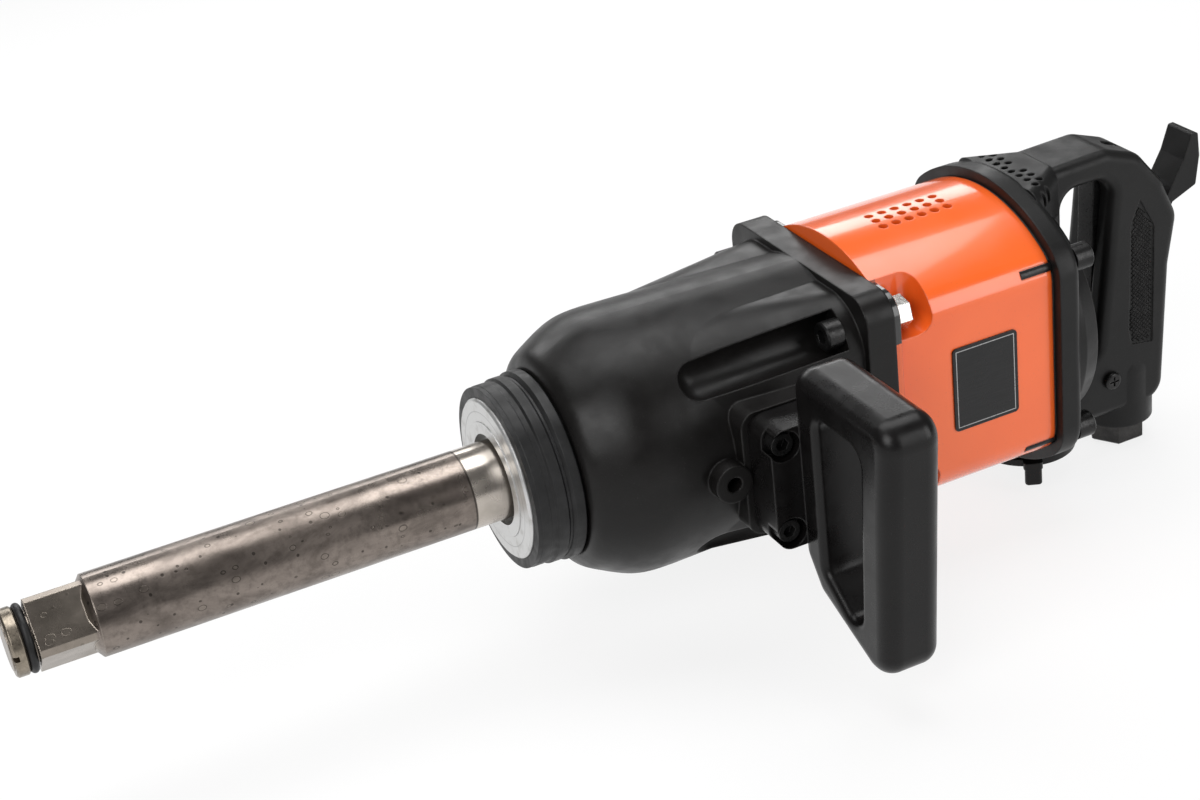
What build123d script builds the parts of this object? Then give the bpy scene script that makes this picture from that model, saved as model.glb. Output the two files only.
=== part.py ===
"""One-inch straight air impact wrench with a long anvil, a side handle and a D-handle.

The drive axis is X: the square points to -X and the D-handle lies at +X. The origin is
on that axis at the front face of the nose ring. +Z is up and the side handle is at -Y.
All sizes are millimetres.
"""
from math import atan2, cos, degrees, pi, radians, sin, sqrt, tan
import os

from build123d import *

os.makedirs("parts", exist_ok=True)

# ---------------------------------------------------------------- driving dimensions
# clearances
RUN = 0.05              # radial running clearance of a shaft or pin
SEAT = 0.02             # radial clearance of a piece that is pressed or screwed in
GAP = 0.3               # working gap between pieces of different bodies

# anvil
SQUARE = 25.4           # drive square across flats
SQUARE_CHAMFER = 2.4
SQUARE_ROLL = 45.0      # resting angle of the square about the drive axis
SHAFT_R = 17.4
ANVIL_R = 17.2          # radius of the anvil inside the nose
JOURNAL_FRONT = 4.0     # where the anvil steps down inside the nose
SHAFT_FRONT = -176.0    # where the full shaft diameter starts
FLATS_FRONT = -200.5    # tip end of the flats
TIP_GROOVE = 5.0        # length of the ring groove in front of the flats
TIP_COLLAR = 5.5        # length of the end collar
TIP_R = 14.2            # radius of the end collar
TIP_CORE_R = 11.0       # radius of the core under the rings
JAW_R = 21.5            # radius of the impact jaws

# nose
BUSH_R = 25.6           # outer radius of the anvil bushing
BUSH_LENGTH = 40.0
BUSH_RECESS = 5.0       # depth of the open ring round the anvil
BUSH_RECESS_R = 20.3
NOSE_R = 35.6           # outer radius of the bright nose ring
NOSE_RING = 5.0
GUARD_R = 42.0          # outer radius of the rubber nose guard
GUARD_BACK = 24.0
GUARD_RIBS = 3

# hammer case
CASE_R = 59.0
CHAMBER_FRONT = 46.0
CASE_FLANGE_FRONT = 151.5
CASE_BACK = 165.0
FLANGE_W = 58.5         # half width of the square flange
FLANGE_H = 57.0         # half height of the square flange
FLANGE_CORNER = 12.0
CORNER_Y = 45.0         # case bolt position
CORNER_Z = 41.5
POCKET_R = 9.5          # bolt pockets along the case
POCKET_FRONT = 70.0
BOLT_R = 4.0            # M8 case bolts
BOLT_HEAD_R = 6.5
BOLT_HEAD = 8.0

# side handle
PAD_Y = -64.0           # face of the handle pad on the case
PAD_X = 115.0
PAD_HALF_X = 29.0
PAD_HALF_Z = 29.0
SIDE_BOLT_X = 19.5
SIDE_BOLT_Z = 20.5
SIDE_BOLT_R = 3.0
SIDE_HEAD_R = 5.0
SIDE_HEAD = 6.0
SIDE_BOLT_DEPTH = 10.0  # thread depth in the case
SIDE_BASE = 19.0        # thickness of the handle's base block
LOOP_X = 116.0          # middle of the loop
LOOP_HALF = 13.5        # half thickness of the loop along X
LOOP_OUT = -151.0       # outer face of the loop at its top
LOOP_TOP = 53.5
LOOP_BOTTOM = -67.0
LOOP_BAR = 20.0         # depth of the gripped bar
LOOP_ROOT = -77.0       # inner side of the loop, buried in the base block
LOOP_INNER = -95.0      # face of the gap next to the base block
LOOP_ROUND = 8.0
LOOP_INNER_ROUND = 3.5
LOOP_LEAN = 5.0         # lean of the gripped bar in degrees
EAR_X = 80.0
EAR_Y = -66.0            # face of the ear
EAR_R = 8.5
EAR_HOLE_R = 3.4
EAR_HOLE = 12.0

# motor
GASKET = 1.0
HOUSING_BACK = 247.5
HOUSING_W = 53.5        # half width at the flat sides
HOUSING_TOP = 64.5
HOUSING_ARC = 78.0      # radius of the top and the bottom
HOUSING_CORNER = 16.0
EAR_PLATE = 3.5         # thickness of the housing's bolting corners
NUT_POCKET = 20.5       # length of the nut pockets
MOTOR_BORE = 46.5
LINER_R = 46.0
LINER_BORE = 35.3
ECCENTRIC = 5.0
ROTOR_R = 30.0
ROTOR_FRONT = 164.0
ROTOR_BACK = 227.0
JOURNAL_R = 9.5
REAR_JOURNAL_R = 8.5
VANES = 6
VANE_T = 3.0
VANE_DEPTH = 13.0
FRONT_BEARING_X = 145.0
FRONT_BEARING_R = 21.0
REAR_BEARING_X = 230.0
REAR_BEARING_R = 18.0
BEARING_WIDTH = 11.0
BALLS = 9
REAR_PLATE_BACK = 243.0
DOWEL = 6.0             # depth of the dowel in each piece
DOWEL_R = 2.0
DOWEL_Z = 39.0
PORT_Y = 8.0            # forward and reverse air ports
PORT_Z = -42.0
PORT_R = 3.0
EXHAUST_HOLES = 3
POCKET_IN_Y = 36.5      # inner corner of the nut pockets
POCKET_IN_Z = 32.5
POCKET_ROUND = 7.0
SCREEN_X = 41.0
SCREEN_Y = 22.0
SCREEN_TOP = 60.5
PERF_R = 2.0
PERF_X = 208.0
PERF_Y = -3.0
PERF_PITCH_X = 6.6
PERF_PITCH_Y = 6.0
PLATE_X = 211.5         # name plate centre
PLATE_W = 33.0
PLATE_H = 40.4
PLATE_T = 0.8

# hammer mechanism
CAGE_R = 46.5
CAGE_FRONT = 50.0
CAGE_DISC = 8.0
HAMMER_WIDTH = 28.0
HAMMER_R = 37.0
HAMMER_BORE = 25.5
PIN_PLACE = 31.0
PIN_R = 3.5
WEB_R = 40.3
WEB_HALF = 25.0         # half angle of a web
PILOT = 12.0            # depth of the pilot bore at the back of the anvil
PILOT_R = 10.4
SPINDLE_HEX = 16.0
HAMMER_TRAVEL = 6.0     # length of the second pin's slot
DOG_DEPTH = 3.0         # how far a hammer's dog reaches inside the jaws
DOG_START = -90.0
DOG_ANGLE = 30.0

# rear head and D-handle
HEAD_LIP = 4.8          # step of the head flange around the housing
HEAD_BACK = 260.0
DOME_R = 57.0
DOME_BACK = 273.0
HEAD_BOLT_Y = 49.5
HEAD_BOLT_Z = 42.0
HEAD_BOLT_R = 3.0
HEAD_HEAD_R = 6.0
HEAD_HEAD = 9.0
HEAD_THREAD = 15.0
ROOT_HALF = 32.0        # half width of the root of the D-handle
HANDLE_ROUND = 5.0
ROOT_TOP = 26.0         # height of the flared root of the top arm
ROOT_LOW = 40.0
HANDLE_HALF = 16.5      # half width of the D-handle
ARM_TOP = 67.5
GRIP_FRONT = 309.5      # front of the grip at the top of the gap
GRIP_FOOT = 299.0       # front of the grip at the bottom of the gap
GRIP_BACK = 348.5       # rear of the grip at its widest
GAP_FRONT = 281.0
GAP_TOP = 55.5
GAP_BOTTOM = -34.0
ARM_BOTTOM = -66.5
INLET_X = 320.6
BOSS_R = 17.4
BOSS_BOTTOM = -75.5
BOSS_TOP = -48.0
INLET_HEX = 24.0
INLET_BOTTOM = -87.3
INLET_THREAD_R = 7.5
INLET_NECK_R = 11.0
INLET_NECK = 6.0
AIR_Z = -48.0           # air passage along the lower arm
AIR_R = 5.5
PANEL_DEPTH = 0.8
SCREW_X = 306.0
SCREW_Z = -47.0
SCREW_R = 2.0
SCREW_INNER = 7.5
SCREW_HEAD_R = 4.4
SCREW_HEAD = 2.6
PLUG_X = 318.0
PLUG_R = 4.0
PLUG_TOP = 63.0
PLUG_FOOT = 59.0        # lower end of the oil plug, above the roof of the trigger's slot
PLUG_HEX = 2.6          # depth of its hex socket
LEVER_PIN = 13.0        # half length of the lever pins

# levers and throttle
TRIGGER_X = 314.8
TRIGGER_Z = 6.8
TRIGGER_HALF = 5.5
PADDLE_X = 333.0
PADDLE_Z = 8.0
PADDLE_HALF = 8.5
LEVER_PIN_R = 2.5
SLOT_SIDE = 1.2         # side clearance of the levers in the handle
ROD_R = 3.0
ROD_TOP = -1.0
NOSE_LEVER_R = 2.5      # radius of the lever noses that press the rod
VALVE_SEAT_Z = -58.0
VALVE_SEAT = 4.0
VALVE_R = 7.0
VALVE_BORE_R = 9.0
SPRING_WIRE = 0.8       # radius of the spring's wire
SPRING_R = 6.0          # mean radius of the spring
SPRING_TURNS = 3
SEAT_BORE_R = 5.0
NOSE_X = 320.6          # where both lever noses press the rod
NOSE_Z = 1.7
NOSE_GAP = 0.5          # half the gap between the two noses
SCREEN_Z = -73.2        # lower face of the inlet screen, where the thread bore ends
SCREEN = 1.2            # thickness of the inlet screen
SCREEN_R = 7.2
PADDLE_WALL = 2.4

# reverse valve
REVERSE_X = 268.0
REVERSE_R = 9.0
REVERSE_TOP = -38.0
LEVER_TOP = -71.3
LEVER_PLATE = 3.5
LEVER_R = 23.5
TAB_ANGLE = -117.0
TAB_DROP = 12.0
TAB_WIDTH = 8.0
REVERSE_BOSS_R = 15.0
DETENT_Y = 12.0
DETENT_R = 1.5
DETENT_TOP = -60.0
REVERSE_SQUARE = 8.0
REVERSE_SCREW_R = 2.5


# ---------------------------------------------------------------- derived values
BUSH_BORE = ANVIL_R + RUN
CHAMBER_R = CAGE_R + 1.0
PLATE_R = CHAMBER_R + 1.0
HOUSING_FRONT = CASE_BACK + GASKET
HEAD_FRONT = HOUSING_BACK + GASKET
HAMMER_1 = CAGE_FRONT + CAGE_DISC + GAP
HAMMER_2 = HAMMER_1 + HAMMER_WIDTH + 1.0
CAGE_REAR = HAMMER_2 + HAMMER_WIDTH + GAP
CAGE_BACK = CAGE_REAR + CAGE_DISC + 4.0
ANVIL_BACK = CAGE_REAR - GAP
PLATE_FRONT = CAGE_BACK + 12.0
LINER_FRONT = ROTOR_FRONT - GAP
LINER_BACK = ROTOR_BACK + GAP
ARC_CENTRE = HOUSING_TOP - HOUSING_ARC
SPINDLE_END = CAGE_REAR + 1.0
SEAT_X = CASE_FLANGE_FRONT - 6.5
NUT_FACE = HOUSING_FRONT + EAR_PLATE + 1.5
SIDE_SEAT = PAD_Y - SIDE_BASE + 8.0
VALVE_TOP = VALVE_SEAT_Z - RUN


def save(part, name):
    """Label a finished piece and write its STEP file."""
    part.label = name
    export_step(part, f"parts/{name}.step")


def turned(points, mode=Mode.ADD):
    """Revolve a closed outline of (x, radius) points about the drive axis."""
    with BuildSketch(Plane.XZ) as outline:
        with BuildLine():
            Polyline(*points, close=True)
        make_face()
    revolve(outline.sketch, axis=Axis.X, mode=mode)


def tube(x0, x1, r_out, r_in=0.0, mode=Mode.ADD):
    """A plain ring or disc about the drive axis."""
    with BuildSketch(Plane.YZ.offset(x0)) as section:
        Circle(r_out)
        if r_in:
            Circle(r_in, mode=Mode.SUBTRACT)
    extrude(section.sketch, amount=x1 - x0, mode=mode)


def bar_x(x0, x1, y, z, r, mode=Mode.ADD):
    """A round bar parallel to the drive axis."""
    with BuildSketch(Plane.YZ.offset(x0)) as section:
        with Locations((y, z)):
            Circle(r)
    extrude(section.sketch, amount=x1 - x0, mode=mode)


def bar_y(y0, y1, x, z, r, mode=Mode.ADD):
    """A round bar across the tool, from y0 to the larger y1."""
    with BuildSketch(Plane.XZ.offset(-y0)) as section:
        with Locations((x, z)):
            Circle(r)
    extrude(section.sketch, amount=y0 - y1, mode=mode)


def bar_z(z0, z1, x, y, r, mode=Mode.ADD):
    """A round bar along Z."""
    with BuildSketch(Plane.XY.offset(z0)) as section:
        with Locations((x, y)):
            Circle(r)
    extrude(section.sketch, amount=z1 - z0, mode=mode)


def slab_y(points, half, mode=Mode.ADD, shift=0.0):
    """A closed outline of (x, z) points, extruded by half to both sides of y = shift."""
    with BuildSketch(Plane.XZ.offset(-shift)) as outline:
        with BuildLine():
            Polyline(*points, close=True)
        make_face()
    extrude(outline.sketch, amount=half, both=True, mode=mode)


def square_section(half_y, half_z, corner):
    """Rounded rectangle in the plane across the drive axis."""
    RectangleRounded(2 * half_y, 2 * half_z, corner)


def barrel(grow, corner):
    """The housing's outline: arched top and bottom between flat sides."""
    half = HOUSING_W + grow
    radius = HOUSING_ARC + grow
    edge = sqrt(radius**2 - half**2) + ARC_CENTRE
    with BuildSketch() as outline:
        with BuildLine():
            RadiusArc((-half, edge), (half, edge), radius)
            Line((half, edge), (half, -edge))
            RadiusArc((half, -edge), (-half, -edge), radius)
            Line((-half, -edge), (-half, edge))
        make_face()
        fillet(outline.vertices(), corner)
    return outline.sketch


def corners(y, z):
    """The four places (+-y, +-z)."""
    return [(sy * y, sz * z) for sy in (-1, 1) for sz in (-1, 1)]


# ================================================================ anvil and nose
with BuildPart() as anvil:
    turned([
        (FLATS_FRONT - TIP_GROOVE - TIP_COLLAR, 0),
        (FLATS_FRONT - TIP_GROOVE - TIP_COLLAR, TIP_CORE_R),
        (FLATS_FRONT, TIP_CORE_R),
        (FLATS_FRONT, 0),
    ])
    with BuildSketch(Plane.YZ.offset(FLATS_FRONT)):
        Rectangle(SQUARE, SQUARE, rotation=SQUARE_ROLL)
        chamfer(vertices(), SQUARE_CHAMFER)
    extrude(amount=SHAFT_FRONT - FLATS_FRONT + 4)
    turned([
        (SHAFT_FRONT - 3, 0),
        (SHAFT_FRONT - 3, SQUARE / 2 + 0.8),
        (SHAFT_FRONT, SHAFT_R),
        (JOURNAL_FRONT, SHAFT_R),
        (JOURNAL_FRONT, ANVIL_R),
        (ANVIL_BACK, ANVIL_R),
        (ANVIL_BACK, 0),
    ])
    tube(BUSH_LENGTH + GAP, CAGE_FRONT - GAP, JAW_R)
    for x0, turn in ((HAMMER_1, 0), (HAMMER_2, 180)):
        with BuildSketch(Plane.YZ.offset(x0 + 1)):
            with BuildLine():
                start = CenterArc((0, 0), JAW_R, turn - 132, 38)
                Line(start @ 0, (0, 0))
                Line((0, 0), start @ 1)
            make_face()
        extrude(amount=HAMMER_WIDTH - 2)
    tube(ANVIL_BACK - 12, ANVIL_BACK + 1, JOURNAL_R + 1, mode=Mode.SUBTRACT)
save(anvil.part, "anvil")

with BuildPart() as socket_ring:
    with BuildSketch(Plane.XZ):
        with Locations((FLATS_FRONT - TIP_GROOVE / 2, TIP_CORE_R + 1.75)):
            Circle(1.75)
    revolve(axis=Axis.X)
save(socket_ring.part, "socket_o_ring")

with BuildPart() as collar:
    front = FLATS_FRONT - TIP_GROOVE - TIP_COLLAR
    tube(front + 0.5, FLATS_FRONT - TIP_GROOVE + 0.6, TIP_R, TIP_CORE_R + SEAT)
    chamfer(edges().filter_by(GeomType.CIRCLE).group_by(SortBy.RADIUS)[-1], 0.8)
    with BuildSketch(Plane.YZ.offset(front)):
        Rectangle(2 * TIP_R, 2.4)
    extrude(amount=TIP_COLLAR / 2, mode=Mode.SUBTRACT)
save(collar.part, "friction_ring")

with BuildPart() as bushing:
    tube(-0.4, BUSH_LENGTH, BUSH_R, BUSH_BORE)
    tube(-1, BUSH_RECESS, BUSH_RECESS_R, mode=Mode.SUBTRACT)
save(bushing.part, "anvil_bushing")

with BuildPart() as nose_ring:
    tube(0, NOSE_RING, NOSE_R, BUSH_R + SEAT)
    chamfer(edges().group_by(Axis.X)[0].sort_by(SortBy.RADIUS)[-1], 1.0)
save(nose_ring.part, "nose_ring")

guard_pitch = (GUARD_BACK - 1.5) / GUARD_RIBS
with BuildPart() as nose_guard:
    tube(1.5, GUARD_BACK, GUARD_R - 1.8, NOSE_R + SEAT)
    for rib in range(GUARD_RIBS):
        x0 = 1.5 + rib * guard_pitch
        crest = GUARD_R - 1.6 + 0.8 * rib
        with BuildSketch(Plane.XZ):
            with BuildLine():
                Polyline((x0 + 0.9, GUARD_R - 4), (x0 + 0.9, crest - 1.4), (x0 + 2.2, crest))
                Line((x0 + 2.2, crest), (x0 + guard_pitch - 1.2, crest))
                Line((x0 + guard_pitch - 1.2, crest), (x0 + guard_pitch, crest - 1.2))
                Line((x0 + guard_pitch, crest - 1.2), (x0 + guard_pitch, GUARD_R - 4))
                Line((x0 + guard_pitch, GUARD_R - 4), (x0 + 0.9, GUARD_R - 4))
            make_face()
        revolve(axis=Axis.X)
save(nose_guard.part, "nose_guard")

# ================================================================ hammer case
SQUARE_FRONT = 78.0     # where the round case starts to turn square
with BuildPart() as hammer_case:
    with BuildSketch(Plane.XZ):
        with BuildLine():
            Polyline((NOSE_RING, 0), (NOSE_RING, NOSE_R), (GUARD_BACK + 0.1, NOSE_R))
            Line((GUARD_BACK + 0.1, NOSE_R), (GUARD_BACK + 0.1, GUARD_R + 1))
            Spline(
                (GUARD_BACK + 0.1, GUARD_R + 1),
                (32, 51),
                (44, 56.8),
                (62, CASE_R),
                tangents=[(0.25, 1), (1, 0)],
            )
            Line((62, CASE_R), (CASE_FLANGE_FRONT, CASE_R - 2))
            Line((CASE_FLANGE_FRONT, CASE_R - 2), (CASE_FLANGE_FRONT, 0))
            Line((CASE_FLANGE_FRONT, 0), (NOSE_RING, 0))
        make_face()
    revolve(axis=Axis.X)
    with BuildSketch(Plane.YZ.offset(SQUARE_FRONT)):
        square_section(CASE_R - 4.5, CASE_R - 4.5, 45)
    with BuildSketch(Plane.YZ.offset(CASE_FLANGE_FRONT)):
        square_section(FLANGE_W - 3.2, FLANGE_H - 3.2, 24)
    loft()
    with BuildSketch(Plane.YZ.offset(CASE_FLANGE_FRONT)):
        square_section(FLANGE_W, FLANGE_H, FLANGE_CORNER)
    extrude(amount=CASE_BACK - CASE_FLANGE_FRONT)
    with BuildSketch(Plane.XZ.offset(CHAMBER_R + 1)):
        with Locations((PAD_X, 0)):
            RectangleRounded(2 * PAD_HALF_X, 2 * PAD_HALF_Z, 7)
    extrude(amount=-PAD_Y - CHAMBER_R - 1)
    bar_y(EAR_Y, -CHAMBER_R - 3, EAR_X, 0, EAR_R)
    with BuildSketch(Plane.XZ.offset(CHAMBER_R + 3)):
        with Locations((EAR_X + EAR_R, 0)):
            Rectangle(2 * EAR_R, 2 * EAR_R - 4)
    extrude(amount=-PAD_Y - CHAMBER_R - 4)
    turned([
        (NOSE_RING - 1, 0),
        (NOSE_RING - 1, BUSH_R + SEAT),
        (CHAMBER_FRONT, BUSH_R + SEAT),
        (CHAMBER_FRONT, CHAMBER_R - 3),
        (CHAMBER_FRONT + 3, CHAMBER_R),
        (PLATE_FRONT, CHAMBER_R),
        (PLATE_FRONT, PLATE_R),
        (CASE_BACK + 1, PLATE_R),
        (CASE_BACK + 1, 0),
    ], mode=Mode.SUBTRACT)
    for y, z in corners(CORNER_Y, CORNER_Z):
        reach = 30
        away = degrees(atan2(z, y))
        middle = Vector(y, z) + Vector(cos(radians(away)), sin(radians(away))) * reach / 2
        with BuildSketch(Plane.YZ.offset(POCKET_FRONT + POCKET_R)):
            with Locations(middle):
                SlotCenterToCenter(reach, 2 * POCKET_R, rotation=away)
        extrude(amount=SEAT_X - POCKET_FRONT - POCKET_R, mode=Mode.SUBTRACT)
        with Locations((POCKET_FRONT + POCKET_R, y, z)):
            Sphere(POCKET_R, mode=Mode.SUBTRACT)
        bar_x(SEAT_X - 1, CASE_BACK + 1, y, z, BOLT_R + GAP, mode=Mode.SUBTRACT)
    for dx, dz in corners(SIDE_BOLT_X, SIDE_BOLT_Z):
        bar_y(PAD_Y - 1, PAD_Y + 11, PAD_X + dx, dz, SIDE_BOLT_R + SEAT, mode=Mode.SUBTRACT)
    bar_y(EAR_Y - 1, EAR_Y + EAR_HOLE, EAR_X, 0, EAR_HOLE_R, mode=Mode.SUBTRACT)
save(hammer_case.part, "hammer_case")

with BuildPart() as case_bolts:
    for y, z in corners(CORNER_Y, CORNER_Z):
        bar_x(SEAT_X, NUT_FACE + 8, y, z, BOLT_R)
        bar_x(SEAT_X - BOLT_HEAD, SEAT_X, y, z, BOLT_HEAD_R)
        with BuildSketch(Plane.YZ.offset(SEAT_X - BOLT_HEAD)):
            with Locations((y, z)):
                RegularPolygon(3.0, 6, major_radius=False)
        extrude(amount=4.5, mode=Mode.SUBTRACT)
    rims = edges().filter_by(GeomType.CIRCLE).group_by(Axis.X)[0]
    chamfer(rims, 0.8)
save(case_bolts.part, "case_bolts")

with BuildPart() as case_washers:
    for y, z in corners(CORNER_Y, CORNER_Z):
        bar_x(NUT_FACE - 1.5, NUT_FACE, y, z, 8.0)
        bar_x(NUT_FACE - 1.5, NUT_FACE, y, z, BOLT_R + 0.1, mode=Mode.SUBTRACT)
save(case_washers.part, "case_washers")

with BuildPart() as case_nuts:
    for y, z in corners(CORNER_Y, CORNER_Z):
        with BuildSketch(Plane.YZ.offset(NUT_FACE)):
            with Locations((y, z)):
                RegularPolygon(6.5, 6, major_radius=False, rotation=12)
                Circle(BOLT_R + SEAT, mode=Mode.SUBTRACT)
        extrude(amount=6.5)
save(case_nuts.part, "case_nuts")

with BuildPart() as case_gasket:
    with BuildSketch(Plane.YZ.offset(CASE_BACK)):
        square_section(FLANGE_W - 2.5, FLANGE_H - 2.5, FLANGE_CORNER - 1)
        Circle(PLATE_R + 0.5, mode=Mode.SUBTRACT)
        with Locations(*corners(CORNER_Y, CORNER_Z)):
            Circle(BOLT_R + GAP, mode=Mode.SUBTRACT)
    extrude(amount=GASKET)
save(case_gasket.part, "case_gasket")

# ================================================================ side handle
lean = tan(radians(LOOP_LEAN))
with BuildPart() as side_handle:
    with BuildSketch(Plane.YZ.offset(LOOP_X - LOOP_HALF)) as loop:
        with BuildLine():
            FilletPolyline(
                (LOOP_ROOT, LOOP_TOP),
                (LOOP_OUT, LOOP_TOP),
                (LOOP_OUT + lean * (LOOP_TOP - LOOP_BOTTOM), LOOP_BOTTOM),
                (LOOP_OUT + LOOP_BAR + 4, LOOP_BOTTOM),
                (LOOP_ROOT - 11, LOOP_BOTTOM + 17),
                (LOOP_ROOT, LOOP_BOTTOM + 33),
                radius=11,
                close=True,
            )
        make_face()
        with BuildLine():
            FilletPolyline(
                (LOOP_INNER, LOOP_TOP - 17),
                (LOOP_OUT + LOOP_BAR + lean * 17, LOOP_TOP - 17),
                (LOOP_OUT + LOOP_BAR + lean * 108, LOOP_BOTTOM + 12),
                (LOOP_INNER, LOOP_BOTTOM + 31),
                radius=7,
                close=True,
            )
        make_face(mode=Mode.SUBTRACT)
    extrude(amount=2 * LOOP_HALF)
    for face in faces().filter_by(Axis.X):
        fillet(face.outer_wire().edges(), LOOP_ROUND)
    for face in faces().filter_by(Axis.X):
        fillet(face.inner_wires().edges(), LOOP_INNER_ROUND)
    with BuildSketch(Plane.XZ.offset(-PAD_Y)):
        with Locations((PAD_X, 0)):
            RectangleRounded(2 * PAD_HALF_X - 6, 2 * PAD_HALF_Z - 2, 7)
    extrude(amount=SIDE_BASE)
    for dx, dz in corners(SIDE_BOLT_X, SIDE_BOLT_Z):
        bar_y(SIDE_SEAT - 30, SIDE_SEAT, PAD_X + dx, dz, SIDE_HEAD_R + 2, mode=Mode.SUBTRACT)
        bar_y(SIDE_SEAT - 1, PAD_Y + 1, PAD_X + dx, dz, SIDE_BOLT_R + GAP, mode=Mode.SUBTRACT)
save(side_handle.part, "side_handle")

with BuildPart() as side_bolts:
    for dx, dz in corners(SIDE_BOLT_X, SIDE_BOLT_Z):
        bar_y(SIDE_SEAT, PAD_Y + SIDE_BOLT_DEPTH, PAD_X + dx, dz, SIDE_BOLT_R)
        bar_y(SIDE_SEAT - SIDE_HEAD, SIDE_SEAT, PAD_X + dx, dz, SIDE_HEAD_R)
        with BuildSketch(Plane.XZ.offset(SIDE_HEAD - SIDE_SEAT)):
            with Locations((PAD_X + dx, dz)):
                RegularPolygon(2.5, 6, major_radius=False)
        extrude(amount=-3.5, mode=Mode.SUBTRACT)
save(side_bolts.part, "side_handle_bolts")

# ================================================================ hammer mechanism
with BuildPart() as cage:
    tube(CAGE_FRONT, CAGE_FRONT + CAGE_DISC, CAGE_R, ANVIL_R + RUN)
    tube(CAGE_REAR, CAGE_BACK, CAGE_R)
    tube(ANVIL_BACK - PILOT + 1, CAGE_REAR, PILOT_R)
    for middle in (0, 180):
        with BuildSketch(Plane.YZ.offset(CAGE_FRONT + CAGE_DISC)):
            Circle(CAGE_R)
            Circle(WEB_R, mode=Mode.SUBTRACT)
            with BuildLine():
                reach = 2 * CAGE_R
                a = radians(middle - WEB_HALF)
                b = radians(middle + WEB_HALF)
                Polyline(
                    (0, 0),
                    (reach * cos(a), reach * sin(a)),
                    (reach * cos(b), reach * sin(b)),
                    close=True,
                )
            make_face(mode=Mode.INTERSECT)
        extrude(amount=CAGE_REAR - CAGE_FRONT - CAGE_DISC)
    for z in (-PIN_PLACE, PIN_PLACE):
        bar_x(CAGE_FRONT - 1, CAGE_BACK + 1, 0, z, PIN_R + SEAT, mode=Mode.SUBTRACT)
    with BuildSketch(Plane.YZ.offset(SPINDLE_END)):
        RegularPolygon(SPINDLE_HEX / 2 + SEAT, 6, major_radius=False)
    extrude(amount=CAGE_BACK - SPINDLE_END + 1, mode=Mode.SUBTRACT)
save(cage.part, "hammer_cage")

with BuildPart() as pins:
    for z in (-PIN_PLACE, PIN_PLACE):
        bar_x(CAGE_FRONT, CAGE_BACK, 0, z, PIN_R)
save(pins.part, "hammer_pins")

for x0, turn, name in ((HAMMER_1, 0, "hammer_front"), (HAMMER_2, 180, "hammer_rear")):
    side = 1 if turn == 0 else -1
    with BuildPart() as hammer:
        tube(x0, x0 + HAMMER_WIDTH, HAMMER_R, HAMMER_BORE)
        with BuildSketch(Plane.YZ.offset(x0 + 1)):
            Circle(HAMMER_BORE + 2)
            Circle(JAW_R - DOG_DEPTH, mode=Mode.SUBTRACT)
            with BuildLine():
                a = radians(turn + DOG_START)
                b = radians(turn + DOG_START + DOG_ANGLE)
                Polyline(
                    (0, 0),
                    (60 * cos(a), 60 * sin(a)),
                    (60 * cos(b), 60 * sin(b)),
                    close=True,
                )
            make_face(mode=Mode.INTERSECT)
        extrude(amount=HAMMER_WIDTH - 2)
        bar_x(x0 - 1, x0 + HAMMER_WIDTH + 1, 0, side * PIN_PLACE, PIN_R + RUN, mode=Mode.SUBTRACT)
        with BuildSketch(Plane.YZ.offset(x0 - 1)):
            with Locations((-side * HAMMER_TRAVEL / 2, -side * PIN_PLACE)):
                SlotCenterToCenter(HAMMER_TRAVEL, 2 * PIN_R + 1)
        extrude(amount=HAMMER_WIDTH + 2, mode=Mode.SUBTRACT)
        chamfer(edges().filter_by(GeomType.CIRCLE).filter_by(lambda e: e.radius == HAMMER_R), 0.8)
    save(hammer.part, name)

with BuildPart() as anvil_seal:
    tube(BUSH_LENGTH + GAP, CHAMBER_FRONT, BUSH_R, JAW_R + RUN)
save(anvil_seal.part, "anvil_seal")

# ================================================================ air motor
BEARINGS = (
    ("front", FRONT_BEARING_X, JOURNAL_R, FRONT_BEARING_R, 3.0),
    ("rear", REAR_BEARING_X, REAR_JOURNAL_R, REAR_BEARING_R, 2.4),
)
for place, x0, r_in, r_out, ball in BEARINGS:
    pitch = (r_in + r_out) / 2
    track = ball + RUN
    mid = x0 + BEARING_WIDTH / 2
    for ring, inner, outer in (
        ("outer", pitch + 0.7 * ball, r_out),
        ("inner", r_in + SEAT, pitch - 0.7 * ball),
    ):
        with BuildPart() as race:
            tube(x0, x0 + BEARING_WIDTH, outer, inner)
            with BuildSketch(Plane.XZ) as section:
                with Locations((mid, pitch)):
                    Circle(track)
            revolve(section.sketch, axis=Axis.X, mode=Mode.SUBTRACT)
        save(race.part, f"{place}_bearing_{ring}")
    with BuildPart() as balls:
        for turn in range(BALLS):
            angle = 2 * pi * turn / BALLS
            with Locations((mid, pitch * cos(angle), pitch * sin(angle))):
                Sphere(ball)
    save(balls.part, f"{place}_bearing_balls")

with BuildPart() as front_plate:
    tube(PLATE_FRONT, LINER_FRONT, PLATE_R - SEAT, JOURNAL_R + 1)
    tube(PLATE_FRONT - 1, FRONT_BEARING_X + BEARING_WIDTH, FRONT_BEARING_R + SEAT, mode=Mode.SUBTRACT)
    tube(PLATE_FRONT - 1, PLATE_FRONT + 5, PLATE_R - 6, FRONT_BEARING_R + 5, mode=Mode.SUBTRACT)
    bar_x(LINER_FRONT - DOWEL, LINER_FRONT + 1, 0, -DOWEL_Z, DOWEL_R + SEAT, mode=Mode.SUBTRACT)
save(front_plate.part, "front_end_plate")

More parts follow.
